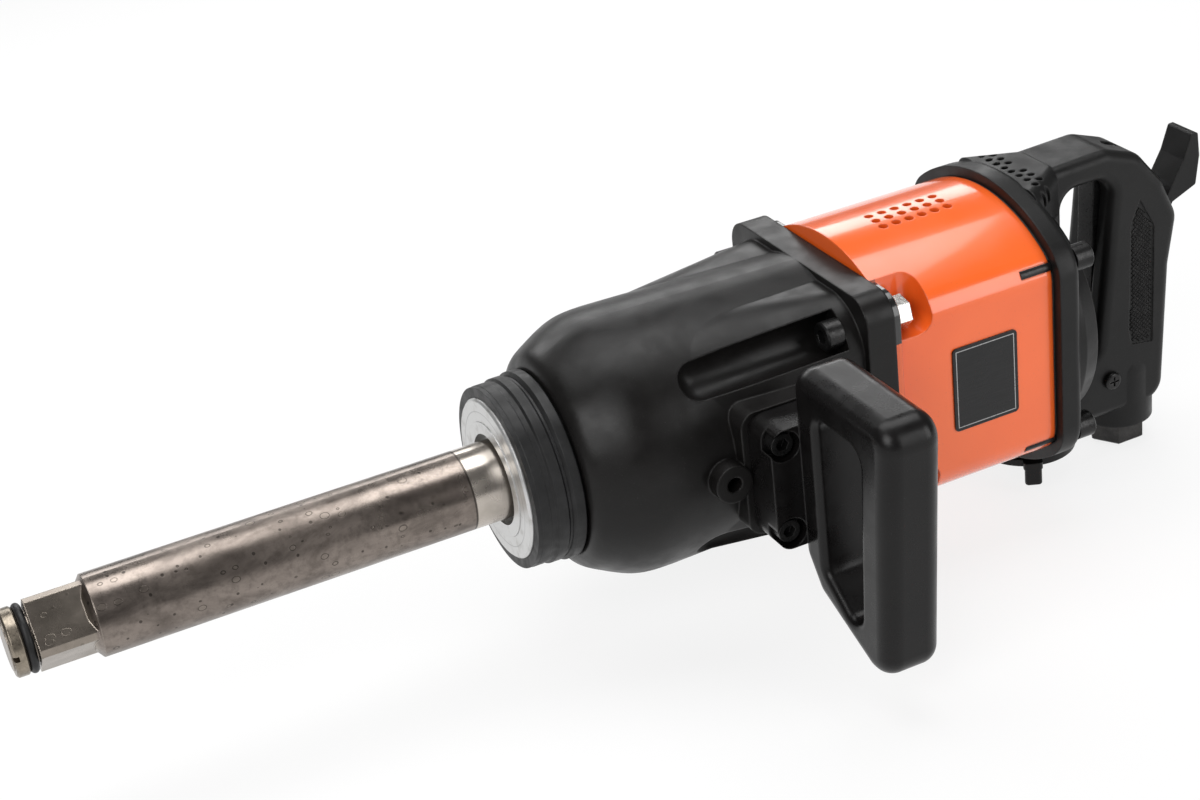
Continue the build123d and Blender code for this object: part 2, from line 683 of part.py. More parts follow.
with BuildPart() as rear_plate:
    tube(LINER_BACK, REAR_PLATE_BACK, LINER_R, REAR_JOURNAL_R + 1)
    tube(REAR_BEARING_X, REAR_PLATE_BACK + 1, REAR_BEARING_R + SEAT, mode=Mode.SUBTRACT)
    for y in (-PORT_Y, PORT_Y):
        bar_x(LINER_BACK - 1, REAR_PLATE_BACK + 1, y, PORT_Z, PORT_R, mode=Mode.SUBTRACT)
save(rear_plate.part, "rear_end_plate")

with BuildPart() as cylinder:
    tube(LINER_FRONT, LINER_BACK, LINER_R)
    bar_x(LINER_FRONT - 1, LINER_BACK + 1, 0, ECCENTRIC, LINER_BORE, mode=Mode.SUBTRACT)
    bar_x(LINER_FRONT - 1, LINER_FRONT + DOWEL, 0, -DOWEL_Z, DOWEL_R + SEAT, mode=Mode.SUBTRACT)
    for column in range(EXHAUST_HOLES):
        x = PERF_X + (column - (EXHAUST_HOLES - 1) / 2) * 2 * PERF_PITCH_X
        bar_z(ECCENTRIC, LINER_R + 1, x, 0, 2.5, mode=Mode.SUBTRACT)
save(cylinder.part, "cylinder")

with BuildPart() as dowel:
    bar_x(LINER_FRONT - DOWEL, LINER_FRONT + DOWEL, 0, -DOWEL_Z, DOWEL_R)
save(dowel.part, "cylinder_dowel")

with BuildPart() as rotor:
    tube(ROTOR_FRONT, ROTOR_BACK, ROTOR_R)
    tube(CAGE_BACK + 1, ROTOR_FRONT, JOURNAL_R)
    tube(ROTOR_BACK, REAR_BEARING_X + BEARING_WIDTH, REAR_JOURNAL_R)
    with BuildSketch(Plane.YZ.offset(SPINDLE_END)):
        RegularPolygon(SPINDLE_HEX / 2, 6, major_radius=False)
    extrude(amount=CAGE_BACK + 1 - SPINDLE_END)
    with BuildSketch(Plane.YZ.offset(ROTOR_FRONT - 1)):
        with PolarLocations(ROTOR_R - VANE_DEPTH / 2 + 1, VANES, start_angle=30):
            Rectangle(VANE_DEPTH + 2, VANE_T)
    extrude(amount=ROTOR_BACK - ROTOR_FRONT + 2, mode=Mode.SUBTRACT)
save(rotor.part, "rotor")

with BuildPart() as vanes:
    with BuildSketch(Plane.YZ.offset(ROTOR_FRONT)):
        with PolarLocations(ROTOR_R - VANE_DEPTH / 2, VANES, start_angle=30):
            Rectangle(VANE_DEPTH - 0.4, VANE_T - 2 * RUN)
    extrude(amount=ROTOR_BACK - ROTOR_FRONT)
save(vanes.part, "rotor_vanes")

# ================================================================ motor housing
with BuildPart() as housing:
    with BuildSketch(Plane.YZ.offset(HOUSING_FRONT)):
        add(barrel(0, HOUSING_CORNER))
    extrude(amount=HOUSING_BACK - HOUSING_FRONT)
    with BuildPart(mode=Mode.PRIVATE) as pocket:
        with Locations(*[(HOUSING_FRONT, y, z) for y, z in corners(POCKET_IN_Y + 20, POCKET_IN_Z + 20)]):
            Box(2 * NUT_POCKET, 40, 40)
        fillet(edges(), POCKET_ROUND)
    add(pocket.part, mode=Mode.SUBTRACT)
    with BuildSketch(Plane.YZ.offset(HOUSING_FRONT)):
        square_section(FLANGE_W - 3, FLANGE_H - 3, FLANGE_CORNER - 1)
    extrude(amount=EAR_PLATE)
    tube(HOUSING_FRONT - 1, HOUSING_BACK + 1, MOTOR_BORE, mode=Mode.SUBTRACT)
    for y, z in corners(CORNER_Y, CORNER_Z):
        bar_x(HOUSING_FRONT - 1, HOUSING_FRONT + EAR_PLATE + 1, y, z, BOLT_R + GAP, mode=Mode.SUBTRACT)
    for y, z in corners(HEAD_BOLT_Y, HEAD_BOLT_Z):
        bar_x(HOUSING_BACK - HEAD_THREAD, HOUSING_BACK + 1, y, z, HEAD_BOLT_R + SEAT, mode=Mode.SUBTRACT)
    with BuildSketch(Plane.XY.offset(LINER_R - 6)):
        with Locations((PERF_X, PERF_Y)):
            RectangleRounded(SCREEN_X, SCREEN_Y, 3)
    extrude(amount=SCREEN_TOP - LINER_R + 6, mode=Mode.SUBTRACT)
    with BuildSketch(Plane.XY.offset(SCREEN_TOP - 1)):
        with Locations((PERF_X, PERF_Y)):
            with GridLocations(PERF_PITCH_X, PERF_PITCH_Y, 6, 3):
                Circle(PERF_R)
    extrude(amount=HOUSING_TOP - SCREEN_TOP + 2, mode=Mode.SUBTRACT)
save(housing.part, "motor_housing")

with BuildPart() as screen:
    with BuildSketch(Plane.XY.offset(LINER_R + 1)):
        with Locations((PERF_X, PERF_Y)):
            RectangleRounded(SCREEN_X - 2 * GAP, SCREEN_Y - 2 * GAP, 2.7)
            with GridLocations(4, 4, 9, 5):
                Circle(0.8, mode=Mode.SUBTRACT)
    extrude(amount=SCREEN_TOP - LINER_R - 1 - GAP)
save(screen.part, "exhaust_screen")

with BuildPart() as name_plate:
    with BuildSketch(Plane.XZ.offset(HOUSING_W)):
        with Locations((PLATE_X, 0)):
            RectangleRounded(PLATE_W, PLATE_H, 2)
    extrude(amount=PLATE_T)
save(name_plate.part, "name_plate")

with BuildPart() as rear_gasket:
    with BuildSketch(Plane.YZ.offset(HOUSING_BACK)):
        add(barrel(-0.5, HOUSING_CORNER))
        Circle(MOTOR_BORE + 0.5, mode=Mode.SUBTRACT)
        with Locations(*corners(HEAD_BOLT_Y, HEAD_BOLT_Z)):
            Circle(HEAD_BOLT_R + GAP, mode=Mode.SUBTRACT)
    extrude(amount=GASKET)
save(rear_gasket.part, "rear_gasket")

# ================================================================ rear head and D-handle
with BuildPart() as rear_head:
    with BuildSketch(Plane.XZ.offset(-HANDLE_HALF)):
        with BuildLine():
            FilletPolyline(
                (HEAD_BACK + 2, ARM_BOTTOM),
                (HEAD_BACK + 2, ARM_TOP),
                (GRIP_FRONT - 3, ARM_TOP + 1.5),
                (324, ARM_TOP - 5),
                (337.5, ARM_TOP - 22),
                (GRIP_BACK - 3, 27),
                (341, 3),
                (INLET_X + BOSS_R - 1, ARM_BOTTOM),
                radius=11,
                close=True,
            )
        make_face()
        with BuildLine():
            FilletPolyline(
                (GAP_FRONT, GAP_BOTTOM),
                (GAP_FRONT, GAP_TOP),
                (GRIP_FRONT, GAP_TOP),
                (GRIP_FOOT, GAP_BOTTOM),
                radius=9,
                close=True,
            )
        make_face(mode=Mode.SUBTRACT)
    extrude(amount=2 * HANDLE_HALF)
    fillet(faces().filter_by(Axis.Y).edges(), HANDLE_ROUND)
    with BuildSketch(Plane.YZ.offset(HEAD_FRONT)):
        add(barrel(HEAD_LIP, HOUSING_CORNER + HEAD_LIP))
    extrude(amount=HEAD_BACK - HEAD_FRONT)
    fillet(edges().filter_by_position(Axis.X, HEAD_BACK - 0.1, HEAD_BACK + 0.1), 4)
    turned([
        (HEAD_BACK - 4, 0),
        (HEAD_BACK - 4, DOME_R),
        (HEAD_BACK + 3, DOME_R),
        (DOME_BACK - 2, DOME_R - 3),
        (DOME_BACK, DOME_R - 7),
        (DOME_BACK, 0),
    ])
    with BuildSketch(Plane.YZ.offset(HEAD_BACK - 3)):
        with Locations((0, ARM_TOP - ROOT_TOP / 2 - 0.5)):
            RectangleRounded(2 * ROOT_HALF, ROOT_TOP, 8)
    with BuildSketch(Plane.YZ.offset(GAP_FRONT - 3)):
        with Locations((0, ARM_TOP - ROOT_TOP / 2 + 1)):
            RectangleRounded(2 * HANDLE_HALF + 0.6, ROOT_TOP, 7)
    loft()
    with BuildSketch(Plane.YZ.offset(HEAD_BACK - 3)):
        with Locations((0, ARM_BOTTOM + ROOT_LOW / 2)):
            RectangleRounded(2 * HANDLE_HALF + 8, ROOT_LOW, 7)
    with BuildSketch(Plane.YZ.offset(GAP_FRONT - 3)):
        with Locations((0, ARM_BOTTOM + ROOT_LOW / 2)):
            RectangleRounded(2 * HANDLE_HALF + 0.6, ROOT_LOW, 7)
    loft()
    bar_z(BOSS_BOTTOM, BOSS_TOP, INLET_X, 0, BOSS_R)
    with Locations((INLET_X, 0, BOSS_TOP)):
        Sphere(BOSS_R)
    bar_z(LEVER_TOP + GAP, ARM_BOTTOM + 8, REVERSE_X, 0, REVERSE_BOSS_R)
    tube(REAR_PLATE_BACK, HEAD_FRONT + 1, MOTOR_BORE - 0.5, REAR_BEARING_R - 2)
    for y, z in corners(HEAD_BOLT_Y, HEAD_BOLT_Z):
        bar_x(HEAD_FRONT - 1, HEAD_BACK + 1, y, z, HEAD_BOLT_R + GAP, mode=Mode.SUBTRACT)
    tube(REAR_PLATE_BACK - 1, HEAD_FRONT + 6, REAR_BEARING_R - 2, mode=Mode.SUBTRACT)
    for y in (-PORT_Y, PORT_Y):
        bar_x(REAR_PLATE_BACK - 1, REVERSE_X, y, PORT_Z, PORT_R, mode=Mode.SUBTRACT)
    bar_x(REVERSE_X, INLET_X, 0, AIR_Z, AIR_R, mode=Mode.SUBTRACT)
    bar_z(LEVER_TOP, REVERSE_TOP + 1, REVERSE_X, 0, REVERSE_R + RUN, mode=Mode.SUBTRACT)
    bar_z(DETENT_TOP, LEVER_TOP, REVERSE_X, DETENT_Y, DETENT_R + RUN, mode=Mode.SUBTRACT)
    bar_z(BOSS_BOTTOM - 1, BOSS_BOTTOM + INLET_NECK, INLET_X, 0, INLET_NECK_R + SEAT, mode=Mode.SUBTRACT)
    bar_z(BOSS_BOTTOM, VALVE_SEAT_Z + VALVE_SEAT, INLET_X, 0, VALVE_BORE_R + SEAT, mode=Mode.SUBTRACT)
    bar_z(VALVE_SEAT_Z, AIR_Z + AIR_R, INLET_X, 0, VALVE_R, mode=Mode.SUBTRACT)
    bar_z(AIR_Z, ROD_TOP + 4, INLET_X, 0, ROD_R + RUN, mode=Mode.SUBTRACT)
    slab_y([
        (GRIP_FOOT - 12, -9),
        (GRIP_FOOT + 10, -9),
        (INLET_X + 5, -4.5),
        (INLET_X + 5, 16),
        (INLET_X + 0.5, GAP_TOP + 1),
        (GRIP_FRONT - 2, GAP_TOP + 3),
        (GRIP_FRONT - 12, GAP_TOP - 1),
    ], TRIGGER_HALF + SLOT_SIDE, mode=Mode.SUBTRACT)
    slab_y([
        (INLET_X - 5, -4.5),
        (PADDLE_X + 6, -4.5),
        (GRIP_BACK + 20, 10),
        (GRIP_BACK + 20, ARM_TOP - 10),
        (PADDLE_X + 2, ARM_TOP - 10),
        (PADDLE_X - 5, 24),
        (INLET_X - 5, 12),
    ], PADDLE_HALF + SLOT_SIDE, mode=Mode.SUBTRACT)
    bar_y(-LEVER_PIN, LEVER_PIN, TRIGGER_X, TRIGGER_Z, LEVER_PIN_R + SEAT, mode=Mode.SUBTRACT)
    bar_y(-LEVER_PIN, LEVER_PIN, PADDLE_X, PADDLE_Z, LEVER_PIN_R + SEAT, mode=Mode.SUBTRACT)
    for side in (-1, 1):
        slab_y([
            (318, 30),
            (323, 41),
            (331, 26),
            (330, -34),
            (318, -32),
            (316.5, -23.5),
        ], PANEL_DEPTH, mode=Mode.SUBTRACT, shift=side * HANDLE_HALF)
        y0, y1 = sorted((side * SCREW_INNER, side * (HANDLE_HALF + 1)))
        bar_y(y0, y1, SCREW_X, SCREW_Z, SCREW_R + SEAT, mode=Mode.SUBTRACT)
        for row, count in ((0, 5), (1, 4)):
            for hole in range(count):
                y = side * (2.7 + 3 * row + 6 * hole)
                bar_z(ARM_TOP - 9, ARM_TOP + 2, HEAD_BACK + 3 + 4.2 * row, y, 1.6, mode=Mode.SUBTRACT)
    bar_z(PLUG_FOOT, ARM_TOP + 1, PLUG_X, 0, PLUG_R + SEAT, mode=Mode.SUBTRACT)
save(rear_head.part, "rear_head")

with BuildPart() as head_bolts:
    for y, z in corners(HEAD_BOLT_Y, HEAD_BOLT_Z):
        bar_x(HOUSING_BACK - HEAD_THREAD, HEAD_BACK, y, z, HEAD_BOLT_R)
        bar_x(HEAD_BACK, HEAD_BACK + HEAD_HEAD, y, z, HEAD_HEAD_R)
        with BuildSketch(Plane.YZ.offset(HEAD_BACK + HEAD_HEAD)):
            with Locations((y, z)):
                RegularPolygon(3.0, 6, major_radius=False)
        extrude(amount=-4.5, mode=Mode.SUBTRACT)
    rims = edges().filter_by(GeomType.CIRCLE).group_by(Axis.X)[-1]
    chamfer(rims, 0.8)
save(head_bolts.part, "rear_head_bolts")

with BuildPart() as handle_screws:
    for side in (-1, 1):
        near, far = sorted((side * SCREW_INNER, side * HANDLE_HALF))
        bar_y(near, far, SCREW_X, SCREW_Z, SCREW_R)
        near, far = sorted((side * HANDLE_HALF, side * (HANDLE_HALF + SCREW_HEAD)))
        bar_y(near, far, SCREW_X, SCREW_Z, SCREW_HEAD_R)
        crown = edges().filter_by(GeomType.CIRCLE).filter_by_position(
            Axis.Y, side * (HANDLE_HALF + SCREW_HEAD) - 0.01, side * (HANDLE_HALF + SCREW_HEAD) + 0.01
        )
        fillet(crown, 1.4)
        for long, wide in ((5.0, 1.0), (1.0, 5.0)):
            with Locations((SCREW_X, side * (HANDLE_HALF + SCREW_HEAD), SCREW_Z)):
                Box(long, 2.4, wide, mode=Mode.SUBTRACT)
save(handle_screws.part, "handle_screws")

with BuildPart() as oil_plug:
    bar_z(PLUG_FOOT, PLUG_TOP, PLUG_X, 0, PLUG_R)
    with BuildSketch(Plane.XY.offset(PLUG_TOP)):
        with Locations((PLUG_X, 0)):
            RegularPolygon(2.0, 6, major_radius=False)
    extrude(amount=-PLUG_HEX, mode=Mode.SUBTRACT)
save(oil_plug.part, "oil_plug")

# ================================================================ levers and throttle
with BuildPart() as trigger:
    with BuildSketch(Plane.XZ.offset(-TRIGGER_HALF)):
        with BuildLine():
            FilletPolyline(
                (305.4, 55.5),
                (311.5, 55.5),
                (311.3, 42),
                (309.2, 12),
                (309.2, -5),
                (303.0, -5),
                (303.4, 2),
                radius=1.4,
                close=True,
            )
        make_face()
        with Locations((TRIGGER_X, TRIGGER_Z)):
            Circle(LEVER_PIN_R + 2.3)
        with BuildLine():
            Polyline(
                (308, 13),
                (TRIGGER_X, TRIGGER_Z + 4.6),
                (TRIGGER_X, TRIGGER_Z - 4.6),
                (308, 0),
                close=True,
            )
        make_face()
    extrude(amount=2 * TRIGGER_HALF)
    with BuildSketch(Plane.XZ.offset(NOSE_GAP)):
        with BuildLine():
            Polyline(
                (TRIGGER_X, TRIGGER_Z - 4.6),
                (NOSE_X, NOSE_Z - NOSE_LEVER_R),
                (NOSE_X, NOSE_Z + NOSE_LEVER_R),
                (TRIGGER_X, TRIGGER_Z + 4.6),
                close=True,
            )
        make_face()
        with Locations((NOSE_X, NOSE_Z)):
            Circle(NOSE_LEVER_R)
    extrude(amount=TRIGGER_HALF - NOSE_GAP)
    bar_y(-PADDLE_HALF, PADDLE_HALF, TRIGGER_X, TRIGGER_Z, LEVER_PIN_R + RUN, mode=Mode.SUBTRACT)
save(trigger.part, "trigger")

with BuildPart() as trigger_pin:
    bar_y(-LEVER_PIN, LEVER_PIN, TRIGGER_X, TRIGGER_Z, LEVER_PIN_R)
save(trigger_pin.part, "trigger_pin")

with BuildPart() as paddle:
    with BuildSketch(Plane.XZ.offset(-PADDLE_HALF)):
        with BuildLine():
            FilletPolyline(
                (329.5, 11),
                (336.5, 3.5),
                (345.0, 24),
                (347.5, 30),
                (360.8, 35.3),
                (362.8, 49.2),
                (361.8, 61.0),
                (358.3, 61.0),
                (354.0, 49.5),
                (347.5, 38.5),
                (340, 27),
                radius=1.2,
                close=True,
            )
        make_face()
        with Locations((PADDLE_X, PADDLE_Z)):
            Circle(LEVER_PIN_R + 2.5)
    extrude(amount=2 * PADDLE_HALF)
    slab_y([
        (352.0, 36.0),
        (365.0, 41.0),
        (365.0, 58.5),
        (360.6, 58.5),
        (357.4, 48.5),
    ], PADDLE_HALF - PADDLE_WALL, mode=Mode.SUBTRACT)
    with BuildSketch(Plane.XZ.offset(-NOSE_GAP)):
        with BuildLine():
            Polyline(
                (PADDLE_X, PADDLE_Z - 4.6),
                (NOSE_X, NOSE_Z - NOSE_LEVER_R),
                (NOSE_X, NOSE_Z + NOSE_LEVER_R),
                (PADDLE_X, PADDLE_Z + 4.6),
                close=True,
            )
        make_face()
        with Locations((NOSE_X, NOSE_Z)):
            Circle(NOSE_LEVER_R)
    extrude(amount=NOSE_GAP - TRIGGER_HALF)
    bar_y(-PADDLE_HALF - 1, PADDLE_HALF + 1, PADDLE_X, PADDLE_Z, LEVER_PIN_R + RUN, mode=Mode.SUBTRACT)
save(paddle.part, "paddle_lever")

with BuildPart() as paddle_pin:
    bar_y(-LEVER_PIN, LEVER_PIN, PADDLE_X, PADDLE_Z, LEVER_PIN_R)
save(paddle_pin.part, "paddle_pin")

with BuildPart() as valve_rod:
    bar_z(VALVE_TOP, ROD_TOP, INLET_X, 0, ROD_R)
    chamfer(edges().group_by(Axis.Z)[-1], 0.6)
save(valve_rod.part, "valve_rod")

with BuildPart() as throttle_valve:
    bar_z(VALVE_TOP - 4, VALVE_TOP, INLET_X, 0, VALVE_R)
    bar_z(VALVE_TOP - 6, VALVE_TOP - 4, INLET_X, 0, SPRING_R - SPRING_WIRE - RUN)
    chamfer(edges().group_by(Axis.Z)[-1], 1.2)
save(throttle_valve.part, "throttle_valve")

with BuildPart() as valve_seat:
    bar_z(VALVE_SEAT_Z, VALVE_SEAT_Z + VALVE_SEAT, INLET_X, 0, VALVE_BORE_R)
    bar_z(VALVE_SEAT_Z - 1, VALVE_SEAT_Z + VALVE_SEAT + 1, INLET_X, 0, SEAT_BORE_R, mode=Mode.SUBTRACT)
save(valve_seat.part, "valve_seat")

spring_foot = BOSS_BOTTOM + INLET_NECK + SPRING_WIRE
spring_head = VALVE_TOP - 4 - SPRING_WIRE
with BuildPart() as valve_spring:
    with BuildLine() as coil:
        Helix(
            pitch=(spring_head - spring_foot) / SPRING_TURNS,
            height=spring_head - spring_foot,
            radius=SPRING_R,
            center=(INLET_X, 0, spring_foot),
        )
    with BuildSketch(Plane(origin=coil.line @ 0, z_dir=coil.line % 0)):
        Circle(SPRING_WIRE)
    sweep(path=coil.line, is_frenet=True)
save(valve_spring.part, "valve_spring")

with BuildPart() as air_inlet:
    bar_z(BOSS_BOTTOM, BOSS_BOTTOM + INLET_NECK, INLET_X, 0, INLET_NECK_R)
    with BuildSketch(Plane.XY.offset(INLET_BOTTOM)):
        with Locations((INLET_X, 0)):
            RegularPolygon(INLET_HEX / 2, 6, major_radius=False)
    extrude(amount=BOSS_BOTTOM - INLET_BOTTOM)
    chamfer(edges().group_by(Axis.Z)[0], 1.0)
    bar_z(INLET_BOTTOM - 1, SCREEN_Z, INLET_X, 0, INLET_THREAD_R, mode=Mode.SUBTRACT)
    bar_z(SCREEN_Z - 0.5, SCREEN_Z + SCREEN, INLET_X, 0, SCREEN_R + SEAT, mode=Mode.SUBTRACT)
    bar_z(SCREEN_Z, BOSS_BOTTOM + INLET_NECK + 1, INLET_X, 0, SPRING_R - SPRING_WIRE - 0.4, mode=Mode.SUBTRACT)
save(air_inlet.part, "air_inlet")

with BuildPart() as inlet_screen:
    with BuildSketch(Plane.XY.offset(SCREEN_Z)):
        with Locations((INLET_X, 0)):
            Circle(SCREEN_R)
            with HexLocations(1.5, 5, 5):
                Circle(0.9, mode=Mode.SUBTRACT)
    extrude(amount=SCREEN)
save(inlet_screen.part, "inlet_screen")

# ================================================================ reverse valve
with BuildPart() as reverse_valve:
    bar_z(LEVER_TOP, REVERSE_TOP, REVERSE_X, 0, REVERSE_R)
    with BuildSketch(Plane.XY.offset(LEVER_TOP - LEVER_PLATE)):
        with Locations((REVERSE_X, 0)):
            Rectangle(REVERSE_SQUARE, REVERSE_SQUARE)
    extrude(amount=LEVER_PLATE)
    bar_x(REVERSE_X, REVERSE_X + REVERSE_R, 0, AIR_Z, AIR_R - 1, mode=Mode.SUBTRACT)
    bar_x(REVERSE_X - REVERSE_R, REVERSE_X, 0, PORT_Z - 1, PORT_R, mode=Mode.SUBTRACT)
    bar_z(AIR_Z, PORT_Z, REVERSE_X, 0, PORT_R, mode=Mode.SUBTRACT)
    bar_z(LEVER_TOP - LEVER_PLATE - 1, LEVER_TOP + 6, REVERSE_X, 0, REVERSE_SCREW_R + SEAT, mode=Mode.SUBTRACT)
save(reverse_valve.part, "reverse_valve")

with BuildPart() as reverse_lever:
    with BuildSketch(Plane.XY.offset(LEVER_TOP - LEVER_PLATE)):
        with Locations((REVERSE_X, 0)):
            Circle(LEVER_R)
            with Locations(Location((0, 0), TAB_ANGLE)):
                with Locations((LEVER_R + 1, 0)):
                    RectangleRounded(6, TAB_WIDTH + 1, 2)
            Rectangle(REVERSE_SQUARE + 2 * SEAT, REVERSE_SQUARE + 2 * SEAT, mode=Mode.SUBTRACT)
    extrude(amount=LEVER_PLATE)
    with BuildSketch(Plane.XY.offset(LEVER_TOP - TAB_DROP)):
        with Locations((REVERSE_X, 0)):
            with Locations(Location((0, 0), TAB_ANGLE)):
                with Locations((LEVER_R + 2, 0)):
                    RectangleRounded(4, TAB_WIDTH, 1.8)
    extrude(amount=TAB_DROP - 1)
    fillet(edges().group_by(Axis.Z)[0], 1.2)
    with BuildSketch(Plane.XY.offset(LEVER_TOP - 0.8)):
        with Locations((REVERSE_X, 0)):
            Circle(DETENT_Y + DETENT_R + 0.2)
            Circle(DETENT_Y - DETENT_R - 0.2, mode=Mode.SUBTRACT)
    extrude(amount=2, mode=Mode.SUBTRACT)
save(reverse_lever.part, "reverse_lever")

with BuildPart() as reverse_screw:
    bar_z(LEVER_TOP - LEVER_PLATE, LEVER_TOP + 5, REVERSE_X, 0, REVERSE_SCREW_R)
    bar_z(LEVER_TOP - LEVER_PLATE - 3, LEVER_TOP - LEVER_PLATE, REVERSE_X, 0, 2 * REVERSE_SCREW_R + 1)
    with BuildSketch(Plane.XY.offset(LEVER_TOP - LEVER_PLATE - 3)):
        with Locations((REVERSE_X, 0)):
            RegularPolygon(2.0, 6, major_radius=False)
    extrude(amount=2, mode=Mode.SUBTRACT)
save(reverse_screw.part, "reverse_lever_screw")

with BuildPart() as detent_ball:
    with Locations((REVERSE_X, DETENT_Y, LEVER_TOP - 0.5 + DETENT_R)):
        Sphere(DETENT_R)
save(detent_ball.part, "detent_ball")

with BuildPart() as detent_plunger:
    bar_z(LEVER_TOP - 0.5 + 2 * DETENT_R, DETENT_TOP, REVERSE_X, DETENT_Y, DETENT_R)
save(detent_plunger.part, "detent_plunger")
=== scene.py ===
import bpy
import bmesh
import math
from mathutils import Vector, Matrix


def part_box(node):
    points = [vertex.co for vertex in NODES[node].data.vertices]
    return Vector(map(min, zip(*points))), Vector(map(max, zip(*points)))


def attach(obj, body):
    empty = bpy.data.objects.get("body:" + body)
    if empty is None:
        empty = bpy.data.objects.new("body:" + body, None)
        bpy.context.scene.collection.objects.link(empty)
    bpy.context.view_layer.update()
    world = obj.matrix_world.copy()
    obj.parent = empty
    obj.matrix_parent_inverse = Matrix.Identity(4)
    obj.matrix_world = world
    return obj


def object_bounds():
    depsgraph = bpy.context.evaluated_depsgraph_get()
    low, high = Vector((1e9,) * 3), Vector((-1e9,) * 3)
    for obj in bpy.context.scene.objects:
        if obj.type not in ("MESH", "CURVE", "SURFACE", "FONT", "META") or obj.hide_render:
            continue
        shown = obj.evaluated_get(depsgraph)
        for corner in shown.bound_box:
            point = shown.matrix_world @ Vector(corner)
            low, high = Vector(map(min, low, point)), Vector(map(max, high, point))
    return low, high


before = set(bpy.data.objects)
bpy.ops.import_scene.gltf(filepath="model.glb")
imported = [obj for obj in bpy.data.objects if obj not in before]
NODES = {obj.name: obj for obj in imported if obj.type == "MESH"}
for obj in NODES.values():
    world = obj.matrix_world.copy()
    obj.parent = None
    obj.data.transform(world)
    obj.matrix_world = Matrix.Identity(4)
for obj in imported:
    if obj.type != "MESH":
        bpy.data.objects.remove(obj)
CAD_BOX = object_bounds()
SCENE = bpy.context.scene
MM = 0.001
EAR_BACK = 0.1695       # rear face of the housing's bolt ears
EAR_SIDE = 0.0365       # the ears start this far from the middle plane
EAR_LEVEL = 0.0325      # and this far above or below the axis
EAR_FADE = 0.0002       # half width of the edge between the two paints

# ------------------------------------------------------------------ camera
LENS = 68.25
CAMERA_AT = Vector((-0.27467, -0.79250, 0.47585))
CAMERA_RIGHT = (0.8939, -0.4338, -0.1129)
CAMERA_BACK = (-0.3370, -0.8164, 0.4690)
SCENE.view_settings.view_transform = "Standard"
camera_data = bpy.data.cameras.new("camera")
camera_data.sensor_width = 36.0
camera_data.lens = LENS
camera_data.clip_start = 0.01
camera = bpy.data.objects.new("camera", camera_data)
SCENE.collection.objects.link(camera)
right = Vector(CAMERA_RIGHT).normalized()
back = Vector(CAMERA_BACK).normalized()
up = back.cross(right).normalized()
right = up.cross(back)
turn = Matrix((right, up, back)).transposed()
camera.matrix_world = Matrix.Translation(CAMERA_AT) @ turn.to_4x4()
SCENE.camera = camera


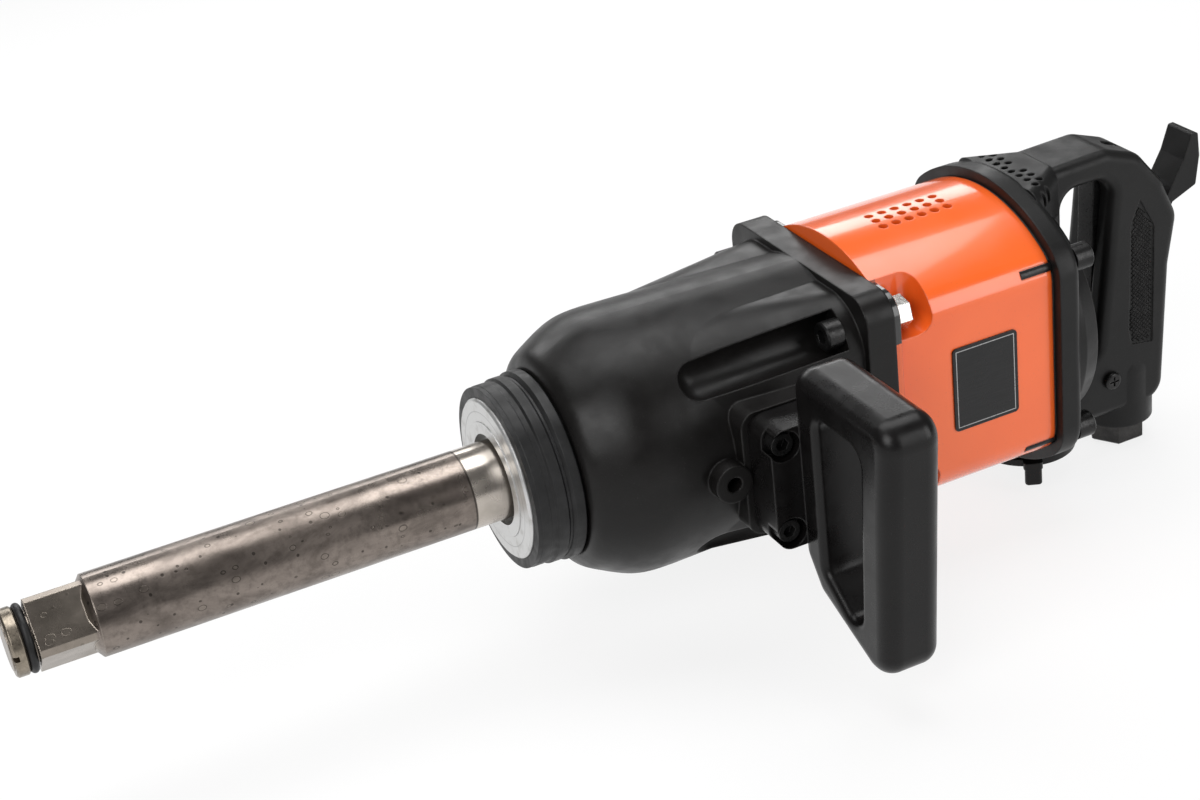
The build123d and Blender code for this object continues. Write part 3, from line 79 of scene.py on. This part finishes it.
# ------------------------------------------------------------------ shader helpers
class Shader:
    """A node material with short calls for the nodes used here."""

    def __init__(self, name):
        self.material = bpy.data.materials.new(name)
        self.material.use_nodes = True
        self.tree = self.material.node_tree
        self.bsdf = self.tree.nodes["Principled BSDF"]
        self.place = self.new("ShaderNodeTexCoord").outputs["Object"]

    def new(self, kind, **settings):
        node = self.tree.nodes.new(kind)
        for key, value in settings.items():
            setattr(node, key, value)
        return node

    def put(self, value, socket):
        if isinstance(value, bpy.types.NodeSocket):
            self.tree.links.new(value, socket)
        else:
            socket.default_value = value

    def stretch(self, x, y, z):
        node = self.new("ShaderNodeMapping")
        self.put(self.place, node.inputs["Vector"])
        node.inputs["Scale"].default_value = (x, y, z)
        return node.outputs["Vector"]

    def noise(self, scale, detail=4.0, rough=0.55, vector=None, distortion=0.0):
        node = self.new("ShaderNodeTexNoise")
        self.put(vector or self.place, node.inputs["Vector"])
        node.inputs["Scale"].default_value = scale
        node.inputs["Detail"].default_value = detail
        node.inputs["Roughness"].default_value = rough
        node.inputs["Distortion"].default_value = distortion
        return node.outputs["Fac"]

    def cells(self, scale, vector=None, feature="F1"):
        node = self.new("ShaderNodeTexVoronoi", feature=feature)
        self.put(vector or self.place, node.inputs["Vector"])
        node.inputs["Scale"].default_value = scale
        return node

    def band(self, value, low, high, out_low=0.0, out_high=1.0):
        node = self.new("ShaderNodeMapRange", interpolation_type="SMOOTHSTEP")
        self.put(value, node.inputs["Value"])
        node.inputs["From Min"].default_value = low
        node.inputs["From Max"].default_value = high
        node.inputs["To Min"].default_value = out_low
        node.inputs["To Max"].default_value = out_high
        return node.outputs["Result"]

    def sum(self, operation, a, b=0.0):
        node = self.new("ShaderNodeMath", operation=operation)
        self.put(a, node.inputs[0])
        self.put(b, node.inputs[1])
        return node.outputs[0]

    def mix(self, factor, a, b):
        node = self.new("ShaderNodeMix", data_type="RGBA")
        self.put(factor, node.inputs[0])
        self.put(a if isinstance(a, bpy.types.NodeSocket) else (*a, 1.0), node.inputs[6])
        self.put(b if isinstance(b, bpy.types.NodeSocket) else (*b, 1.0), node.inputs[7])
        return node.outputs[2]

    def axes(self):
        node = self.new("ShaderNodeSeparateXYZ")
        self.put(self.place, node.inputs[0])
        return node.outputs

    def edges(self, radius):
        """Rounded normal, and a mask that is 1 along the outer edges."""
        soft = self.new("ShaderNodeBevel", samples=6)
        soft.inputs["Radius"].default_value = radius
        plain = self.new("ShaderNodeNewGeometry")
        dot = self.new("ShaderNodeVectorMath", operation="DOT_PRODUCT")
        self.put(soft.outputs[0], dot.inputs[0])
        self.put(plain.outputs["Normal"], dot.inputs[1])
        return soft.outputs[0], self.band(dot.outputs["Value"], 0.99, 0.80)

    def bump(self, height, distance, normal=None, strength=1.0):
        node = self.new("ShaderNodeBump")
        self.put(height, node.inputs["Height"])
        node.inputs["Distance"].default_value = distance
        node.inputs["Strength"].default_value = strength
        if normal:
            self.put(normal, node.inputs["Normal"])
        return node.outputs[0]

    def done(self, colour, roughness, normal=None, metallic=0.0, specular=0.5, coat=0.0, coat_rough=0.1):
        """Set the surface's values and return the material."""
        tint = colour if isinstance(colour, bpy.types.NodeSocket) else (*colour, 1.0)
        self.put(tint, self.bsdf.inputs["Base Color"])
        self.put(roughness, self.bsdf.inputs["Roughness"])
        self.bsdf.inputs["Metallic"].default_value = metallic
        self.bsdf.inputs["Specular IOR Level"].default_value = specular
        self.bsdf.inputs["Coat Weight"].default_value = coat
        self.bsdf.inputs["Coat Roughness"].default_value = coat_rough
        if normal:
            self.put(normal, self.bsdf.inputs["Normal"])
        return self.material


def housing_paint():
    """Orange enamel, left black on the four bolt ears of the front flange."""
    s = Shader("housing_orange")
    soft, edge = s.edges(0.0011)
    drift = s.band(s.noise(9.0, 3.0), 0.35, 0.65)
    tone = s.mix(drift, (0.90, 0.140, 0.020), (0.83, 0.118, 0.015))
    speck = s.band(s.noise(900.0, 2.0), 0.66, 0.74)
    tone = s.mix(s.sum("MULTIPLY", speck, 0.12), tone, (0.05, 0.05, 0.05))
    rub = s.sum("MULTIPLY", s.sum("MULTIPLY", edge, s.band(s.noise(160.0, 6.0), 0.42, 0.6)), 0.25)
    tone = s.mix(rub, tone, (0.05, 0.05, 0.05))
    x, y, z = s.axes()
    ear = s.band(x, EAR_BACK, EAR_BACK - 0.0001)
    ear = s.sum("MULTIPLY", ear, s.band(s.sum("ABSOLUTE", y), EAR_SIDE - EAR_FADE, EAR_SIDE + EAR_FADE))
    ear = s.sum("MULTIPLY", ear, s.band(s.sum("ABSOLUTE", z), EAR_LEVEL - EAR_FADE, EAR_LEVEL + EAR_FADE))
    tone = s.mix(ear, tone, (0.006, 0.006, 0.006))
    grade = s.band(s.noise(60.0, 5.0), 0.3, 0.7, 0.17, 0.25)
    normal = s.bump(s.noise(520.0, 2.0), 0.000006, soft)
    return s.done(tone, grade, normal, coat=0.6, coat_rough=0.06)


def cast_black(name, low, high, rough, grain, radius, wear=0.18, specular=0.24, sheen_scale=26.0):
    """Black coating over a sand-cast surface, with grain, soft shine changes and lighter rubbed edges."""
    s = Shader(name)
    soft, edge = s.edges(radius)
    cloud = s.band(s.noise(sheen_scale, 5.0, 0.6), 0.3, 0.7)
    tone = s.mix(cloud, low, high)
    sand = s.noise(1500.0, 3.0, 0.6)
    pits = s.band(s.cells(700.0).outputs["Distance"], 0.05, 0.32)
    lumps = s.noise(170.0, 3.0)
    rub = s.sum("MULTIPLY", s.sum("MULTIPLY", edge, s.band(s.noise(240.0, 6.0), 0.40, 0.62)), wear)
    tone = s.mix(rub, tone, (0.10, 0.097, 0.094))
    fleck = s.band(s.noise(2200.0, 1.0), 0.70, 0.78)
    tone = s.mix(s.sum("MULTIPLY", fleck, 0.10), tone, (0.18, 0.18, 0.18))
    height = s.sum("ADD", s.sum("MULTIPLY", sand, 0.5), s.sum("ADD", s.sum("MULTIPLY", pits, 0.35), lumps))
    normal = s.bump(height, grain, soft)
    grade = s.band(s.noise(90.0, 5.0), 0.3, 0.7, rough * 0.85, rough * 1.2)
    return s.done(tone, grade, normal, specular=specular)


def steel(name, light, dark, rough, radius, lines=(1.0, 1.0, 1.0),
          line_scale=900.0, relief=0.00002, metallic=1.0):
    """Machined steel: fine tool lines along one direction, patchy tone and rounded edges."""
    s = Shader(name)
    soft, edge = s.edges(radius)
    streak = s.noise(line_scale, 3.0, 0.6, s.stretch(*lines))
    patch = s.band(s.noise(70.0, 6.0), 0.3, 0.7)
    tone = s.mix(patch, light, dark)
    tone = s.mix(s.band(streak, 0.35, 0.7, 0.0, 0.35), tone, dark)
    tone = s.mix(s.sum("MULTIPLY", edge, 0.5), tone, tuple(min(1.0, 1.5 * c) for c in light))
    grade = s.band(streak, 0.3, 0.7, rough * 0.8, rough * 1.25)
    return s.done(tone, grade, s.bump(streak, relief, soft), metallic=metallic)


def anvil_steel():
    """Oiled dark steel with dried drop rings, smears, turning lines and a brighter land by the nose."""
    s = Shader("anvil_oiled_steel")
    soft, edge = s.edges(0.0007)
    x = s.axes()[0]
    rings = s.noise(2600.0, 2.0, 0.5, s.stretch(1.0, 0.02, 0.02))
    smear = s.band(s.noise(34.0, 8.0, 0.65, s.stretch(0.7, 1.6, 1.6), 1.2), 0.36, 0.66)
    mottle = s.noise(240.0, 7.0, 0.7)
    tone = s.mix(smear, (0.260, 0.222, 0.196), (0.150, 0.127, 0.112))
    tone = s.mix(s.band(mottle, 0.42, 0.72, 0.0, 0.55), tone, (0.095, 0.080, 0.070))
    drop = s.cells(170.0, s.stretch(1.0, 1.35, 1.35))
    chosen = s.new("ShaderNodeSeparateColor")
    s.put(drop.outputs["Color"], chosen.inputs[0])
    wobble = s.sum("ADD", drop.outputs["Distance"], s.sum("MULTIPLY", s.noise(420.0, 3.0), 0.10))
    size = s.band(chosen.outputs[1], 0.0, 1.0, 0.16, 0.38)
    gap = s.sum("ABSOLUTE", s.sum("SUBTRACT", wobble, size))
    ring = s.sum("MULTIPLY", s.band(gap, 0.045, 0.012), s.band(chosen.outputs[0], 0.50, 0.56))
    inside = s.sum("MULTIPLY", s.band(s.sum("SUBTRACT", size, wobble), 0.0, 0.03),
                   s.band(chosen.outputs[0], 0.50, 0.56))
    small = s.cells(300.0)
    pick = s.new("ShaderNodeSeparateColor")
    s.put(small.outputs["Color"], pick.inputs[0])
    dots = s.sum("MULTIPLY", s.band(small.outputs["Distance"], 0.26, 0.18),
                 s.band(pick.outputs[0], 0.80, 0.84))
    marks = s.sum("MAXIMUM", ring, dots)
    shaft = s.band(x, -0.0180, -0.0172, 1.0, 0.0)
    marks = s.sum("MULTIPLY", marks, shaft)
    tone = s.mix(s.sum("MULTIPLY", marks, 0.75), tone, (0.035, 0.030, 0.026))
    tone = s.mix(s.sum("MULTIPLY", s.sum("MULTIPLY", inside, shaft), 0.22), tone, (0.30, 0.26, 0.22))
    flats = s.band(x, -0.1775, -0.1785)
    tone = s.mix(s.sum("MULTIPLY", flats, 0.45), tone, (0.36, 0.32, 0.27))
    land = s.band(x, -0.0156, -0.0150)
    polish = s.mix(s.band(s.noise(60.0, 4.0), 0.3, 0.7), (0.56, 0.51, 0.46), (0.44, 0.40, 0.355))
    tone = s.mix(land, tone, polish)
    line = s.band(s.sum("ABSOLUTE", s.sum("ADD", x, 0.0158)), 0.0006, 0.0002)
    tone = s.mix(s.sum("MULTIPLY", line, 0.8), tone, (0.05, 0.045, 0.04))
    tone = s.mix(s.sum("MULTIPLY", edge, 0.55), tone, (0.52, 0.47, 0.41))
    film = s.band(s.noise(28.0, 6.0), 0.35, 0.65, 0.24, 0.40)
    grade = s.sum("SUBTRACT", film, s.sum("MULTIPLY", land, 0.08))
    height = s.sum("ADD", s.sum("MULTIPLY", rings, 0.6), s.sum("MULTIPLY", marks, -1.2))
    normal = s.bump(height, 0.000022, soft)
    return s.done(tone, grade, normal, metallic=1.0)


def rubber(name, tone_low, tone_high, rough, radius):
    """Moulded rubber with a dusty bloom and fine texture."""
    s = Shader(name)
    soft, edge = s.edges(radius)
    bloom = s.band(s.noise(130.0, 6.0), 0.4, 0.75)
    tone = s.mix(bloom, tone_low, tone_high)
    tone = s.mix(s.sum("MULTIPLY", edge, 0.25), tone, (0.08, 0.08, 0.08))
    grade = s.band(s.noise(200.0, 4.0), 0.3, 0.7, rough * 0.85, rough * 1.15)
    return s.done(tone, grade, s.bump(s.noise(1800.0, 3.0), 0.00003, soft), specular=0.35)


def bright_face():
    """Turned aluminium face with concentric tool lines."""
    s = Shader("nose_ring_bright")
    soft, edge = s.edges(0.0004)
    y, z = s.axes()[1], s.axes()[2]
    squared = s.sum("ADD", s.sum("MULTIPLY", y, y), s.sum("MULTIPLY", z, z))
    radius = s.sum("SQRT", squared)
    wave = s.sum("SINE", s.sum("MULTIPLY", radius, 15000.0))
    stain = s.band(s.noise(150.0, 6.0), 0.5, 0.75)
    tone = s.mix(stain, (0.60, 0.60, 0.595), (0.44, 0.435, 0.42))
    groove = s.band(s.sum("ABSOLUTE", s.sum("SUBTRACT", radius, 0.0300)), 0.00035, 0.00015)
    tone = s.mix(s.sum("MULTIPLY", groove, 0.5), tone, (0.25, 0.25, 0.25))
    return s.done(tone, s.band(wave, -1.0, 1.0, 0.30, 0.42), s.bump(wave, 0.000004, soft), metallic=0.85)


def plate_finish():
    """Bare lacquered plate: black field with a thin lighter border line."""
    s = Shader("name_plate_lacquer")
    soft, edge = s.edges(0.0003)
    x, z = s.axes()[0], s.axes()[2]
    low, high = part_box("name_plate")
    middle = (low[0] + high[0]) / 2
    half_x = (high[0] - low[0]) / 2
    half_z = (high[2] - low[2]) / 2
    from_side = s.sum("SUBTRACT", half_x, s.sum("ABSOLUTE", s.sum("SUBTRACT", x, middle)))
    from_end = s.sum("SUBTRACT", half_z, s.sum("ABSOLUTE", z))
    inset = s.sum("MINIMUM", from_side, from_end)
    line = s.band(s.sum("ABSOLUTE", s.sum("SUBTRACT", inset, 0.0017)), 0.00028, 0.00012)
    grainy = s.noise(1600.0, 2.0, 0.6, s.stretch(0.05, 1.0, 1.0))
    tone = s.mix(s.band(grainy, 0.3, 0.7), (0.0040, 0.0040, 0.0044), (0.0085, 0.0085, 0.0092))
    tone = s.mix(s.sum("MULTIPLY", line, 0.7), tone, (0.55, 0.55, 0.55))
    return s.done(tone, s.band(s.noise(120.0, 4.0), 0.3, 0.7, 0.24, 0.34),
                  s.bump(grainy, 0.000006, soft), specular=0.3, coat=0.1)


def sheet_finish(name, a, b, rough, scale):
    """Pressed sheet or fibre composite: fine fibres in two tones."""
    s = Shader(name)
    fibres = s.noise(scale, 6.0, 0.7, s.stretch(1.0, 0.3, 1.0))
    tone = s.mix(s.band(fibres, 0.35, 0.65), a, b)
    return s.done(tone, s.band(fibres, 0.3, 0.7, rough * 0.85, rough * 1.15),
                  s.bump(fibres, 0.00003), specular=0.3)


# ------------------------------------------------------------------ finishes of the CAD nodes
ORANGE = housing_paint()
CASE = cast_black("case_satin_black", (0.0040, 0.0036, 0.0034),
                  (0.0070, 0.0063, 0.0060), 0.36, 0.000030, 0.0012)
HEAD = cast_black("head_satin_black", (0.0045, 0.0045, 0.0045),
                  (0.0080, 0.0078, 0.0077), 0.40, 0.000045, 0.0011)
HANDLE = cast_black("handle_gloss_black", (0.0032, 0.0028, 0.0028),
                    (0.0052, 0.0047, 0.0047), 0.29, 0.000022, 0.0010)
OXIDE = steel("black_oxide_steel", (0.035, 0.034, 0.034),
              (0.014, 0.014, 0.014), 0.32, 0.0005, metallic=0.75)
ZINC = steel("zinc_steel", (0.72, 0.72, 0.70), (0.50, 0.50, 0.47), 0.26, 0.0004)
GROUND = steel("ground_steel", (0.52, 0.52, 0.52), (0.36, 0.36, 0.36),
               0.28, 0.0003, (1.0, 0.06, 0.06), 1800.0)
COLLAR = steel("tip_collar_steel", (0.36, 0.31, 0.25), (0.16, 0.14, 0.11), 0.32, 0.0004)
INLET = steel("inlet_dark_steel", (0.060, 0.058, 0.056), (0.022, 0.021, 0.021), 0.36, 0.0006, metallic=0.8)
BRONZE = steel("bearing_bronze", (0.66, 0.45, 0.20), (0.42, 0.27, 0.11),
               0.32, 0.0003, (1.0, 0.1, 0.1), 1500.0)
MESH = steel("screen_wire", (0.20, 0.20, 0.20), (0.07, 0.07, 0.07), 0.4, 0.0002, (1.0, 1.0, 0.1), 1200.0)
RUBBER = rubber("moulded_rubber", (0.0050, 0.0050, 0.0052), (0.012, 0.012, 0.0125), 0.48, 0.0004)
SHAFT = anvil_steel()
BRIGHT = bright_face()
PLATE = plate_finish()
GASKET = sheet_finish("gasket_sheet", (0.030, 0.030, 0.028), (0.060, 0.058, 0.052), 0.75, 700.0)
FIBRE = sheet_finish("vane_composite", (0.20, 0.11, 0.05), (0.30, 0.18, 0.09), 0.55, 900.0)

FINISH = {
    "motor_housing": ORANGE,
    "hammer_case": CASE,
    "rear_head": HEAD,
    "paddle_lever": HEAD,
    "side_handle": HANDLE,
    "reverse_lever": HANDLE,
    "nose_guard": RUBBER,
    "socket_o_ring": RUBBER,
    "anvil_seal": RUBBER,
    "throttle_valve": RUBBER,
    "nose_ring": BRIGHT,
    "anvil": SHAFT,
    "friction_ring": COLLAR,
    "anvil_bushing": BRIGHT,
    "valve_seat": BRONZE,
    "name_plate": PLATE,
    "case_nuts": ZINC,
    "case_washers": ZINC,
    "air_inlet": INLET,
    "case_gasket": GASKET,
    "rear_gasket": GASKET,
    "rotor_vanes": FIBRE,
    "exhaust_screen": MESH,
    "inlet_screen": MESH,
}
for name in ("case_bolts", "side_handle_bolts", "rear_head_bolts", "handle_screws", "oil_plug",
             "trigger", "reverse_lever_screw"):
    FINISH[name] = OXIDE
for name, node in NODES.items():
    node.data.materials.clear()
    node.data.materials.append(FINISH.get(name, GROUND))

# ------------------------------------------------------------------ diamond pads of the D-handle
PAD_EDGE = [(318, 30), (323, 41), (331, 26), (330, -34), (318, -32), (316.5, -23.5)]
PAD_FACE = 16.5         # distance of the handle's side faces from the middle plane
PAD_SINK = 0.78         # depth of the recess that holds the pad
DIAMOND = 2.3           # pitch of the points
POINT = 0.62            # height of a point
PAD_PLATE = 0.16        # thickness of the plate under the points
PAD_RIM = 0.35          # gap between the points and the outline
PAD_MIDDLE = (324.0, 0.0)
PAD_COLUMNS = 8         # half pitches tried each side of the middle
PAD_ROWS = 40


def inside(polygon, x, z, margin):
    """True where (x, z) is at least margin inside every edge's line of a clockwise outline."""
    for i, (ax, az) in enumerate(polygon):
        bx, bz = polygon[(i + 1) % len(polygon)]
        run = math.hypot(bx - ax, bz - az)
        if ((bx - ax) * (z - az) - (bz - az) * (x - ax)) / run > -margin:
            return False
    return True


def grip_pad(name, side):
    """A thin plate with rows of four-sided points, sunk in the handle's recess."""
    mesh = bpy.data.meshes.new(name)
    shape = bmesh.new()
    foot = side * (PAD_FACE - PAD_SINK) * MM
    base = side * (PAD_FACE - PAD_SINK + PAD_PLATE) * MM
    tip = side * (PAD_FACE - PAD_SINK + PAD_PLATE + POINT) * MM
    half = DIAMOND / 2
    middle_x, middle_z = PAD_MIDDLE
    corners = {}

    def corner(i, j):
        if (i, j) not in corners:
            corners[i, j] = shape.verts.new(((middle_x + i * half) * MM, base, (middle_z + j * half) * MM))
        return corners[i, j]

    for i in range(-PAD_COLUMNS, PAD_COLUMNS + 1):
        for j in range(-PAD_ROWS, PAD_ROWS + 1):
            if (i + j) % 2:
                continue
            around = [(i + 1, j), (i, j + 1), (i - 1, j), (i, j - 1)]
            if not all(inside(PAD_EDGE, middle_x + a * half, middle_z + b * half, PAD_RIM)
                       for a, b in around):
                continue
            peak = shape.verts.new(((middle_x + i * half) * MM, tip, (middle_z + j * half) * MM))
            ring = [corner(a, b) for a, b in around]
            for k in range(4):
                shape.faces.new((ring[k], ring[(k + 1) % 4], peak))
    rim = [e for e in shape.edges if e.is_boundary]
    walls = bmesh.ops.extrude_edge_only(shape, edges=rim)
    low_verts = [v for v in walls["geom"] if isinstance(v, bmesh.types.BMVert)]
    for v in low_verts:
        v.co.y = foot
    bmesh.ops.contextual_create(shape, geom=[e for e in shape.edges if e.is_boundary])
    bmesh.ops.recalc_face_normals(shape, faces=shape.faces)
    shape.to_mesh(mesh)
    shape.free()
    pad = bpy.data.objects.new(name, mesh)
    SCENE.collection.objects.link(pad)
    mesh.materials.append(HANDLE)
    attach(pad, "tool")
    return pad


grip_pad("grip_pad_near", -1)
grip_pad("grip_pad_far", 1)

# ------------------------------------------------------------------ stage and light
FLOOR_GAP = 0.0005      # the floor lies this far under the lowest point
FLOOR_GLOW = 0.82       # share of the floor that shows as plain white
WORLD_FILL = 0.17       # world strength that lights the object
floor_mesh = bpy.data.meshes.new("floor")
shape = bmesh.new()
bmesh.ops.create_grid(shape, x_segments=1, y_segments=1, size=6.0)
shape.to_mesh(floor_mesh)
shape.free()
floor = bpy.data.objects.new("floor", floor_mesh)
floor.location = (0.1, 0.0, CAD_BOX[0][2] - FLOOR_GAP)
SCENE.collection.objects.link(floor)
pale = Shader("pale_floor")
pale.done((0.86, 0.86, 0.86), pale.band(pale.noise(3.0, 3.0), 0.3, 0.7, 0.75, 0.85), specular=0.1)
glow = pale.new("ShaderNodeEmission")
glow.inputs["Color"].default_value = (1.0, 1.0, 1.0, 1.0)
rays = pale.new("ShaderNodeLightPath")
blend = pale.new("ShaderNodeMixShader")
share = pale.sum("MAXIMUM", rays.outputs["Is Camera Ray"], rays.outputs["Is Glossy Ray"])
pale.put(pale.sum("MULTIPLY", share, FLOOR_GLOW), blend.inputs[0])
pale.put(pale.bsdf.outputs[0], blend.inputs[1])
pale.put(glow.outputs[0], blend.inputs[2])
pale.put(blend.outputs[0], pale.tree.nodes["Material Output"].inputs["Surface"])
floor.data.materials.append(pale.material)

world = bpy.data.worlds.new("studio")
SCENE.world = world
world.use_nodes = True
tree = world.node_tree
sky = tree.nodes["Background"]
sky.inputs["Color"].default_value = (1.0, 1.0, 1.0, 1.0)
path = tree.nodes.new("ShaderNodeLightPath")
seen = tree.nodes.new("ShaderNodeMath")
seen.operation = "MAXIMUM"
tree.links.new(path.outputs["Is Camera Ray"], seen.inputs[0])
tree.links.new(path.outputs["Is Transmission Ray"], seen.inputs[1])
level = tree.nodes.new("ShaderNodeMapRange")
level.inputs["To Min"].default_value = WORLD_FILL
level.inputs["To Max"].default_value = 1.0
tree.links.new(seen.outputs[0], level.inputs["Value"])
tree.links.new(level.outputs["Result"], sky.inputs["Strength"])


def lamp(name, place, aim, width, height, power):
    """A soft rectangular lamp aimed at a point."""
    data = bpy.data.lights.new(name, "AREA")
    data.shape = "RECTANGLE"
    data.size = width
    data.size_y = height
    data.energy = power
    item = bpy.data.objects.new(name, data)
    item.location = place
    way = Vector(aim) - Vector(place)
    item.rotation_euler = way.to_track_quat("-Z", "Y").to_euler()
    SCENE.collection.objects.link(item)


lamp("top_box", (0.15, 0.25, 1.25), (0.10, 0.0, 0.0), 1.5, 0.8, 15.0)
lamp("key_box", (-0.95, -0.85, 0.95), (0.05, 0.0, 0.0), 0.9, 0.9, 14.0)
lamp("side_box", (0.95, -1.05, 0.45), (0.15, 0.0, 0.0), 0.7, 0.9, 7.0)
lamp("back_strip", (0.3, 1.1, 0.55), (0.1, 0.0, 0.0), 1.4, 0.35, 6.0)
